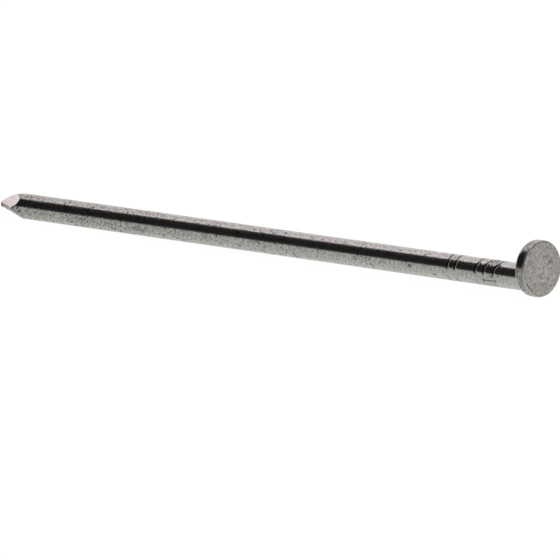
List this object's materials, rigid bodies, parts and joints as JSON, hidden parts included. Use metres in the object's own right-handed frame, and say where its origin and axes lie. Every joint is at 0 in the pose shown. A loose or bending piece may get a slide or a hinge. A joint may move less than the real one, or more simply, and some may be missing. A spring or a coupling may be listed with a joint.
{
  "type": "round wire nail",
  "caption": "Bright steel round wire nail with a flat head set off the shank's axis, grip marks under the head and a four-sided pinched point.",
  "frame": {"origin": "on the shank's axis, in the plane of the head's bearing face (the underside that lands on the timber)", "axes": "+X along the shank towards the head, so the point is at -X; +Z towards the side on which the head stands furthest off the shank, which is uppermost when the nail lies at rest; +Y completes the right-handed frame"},
  "size_m": [0.16, 0.0116, 0.0117],
  "materials": {
    "bright_steel": "bright drawn, uncoated, lightly worn"
  },
  "bodies": {
    "root": {"nail": "bright_steel"}
  },
  "joints": []
}
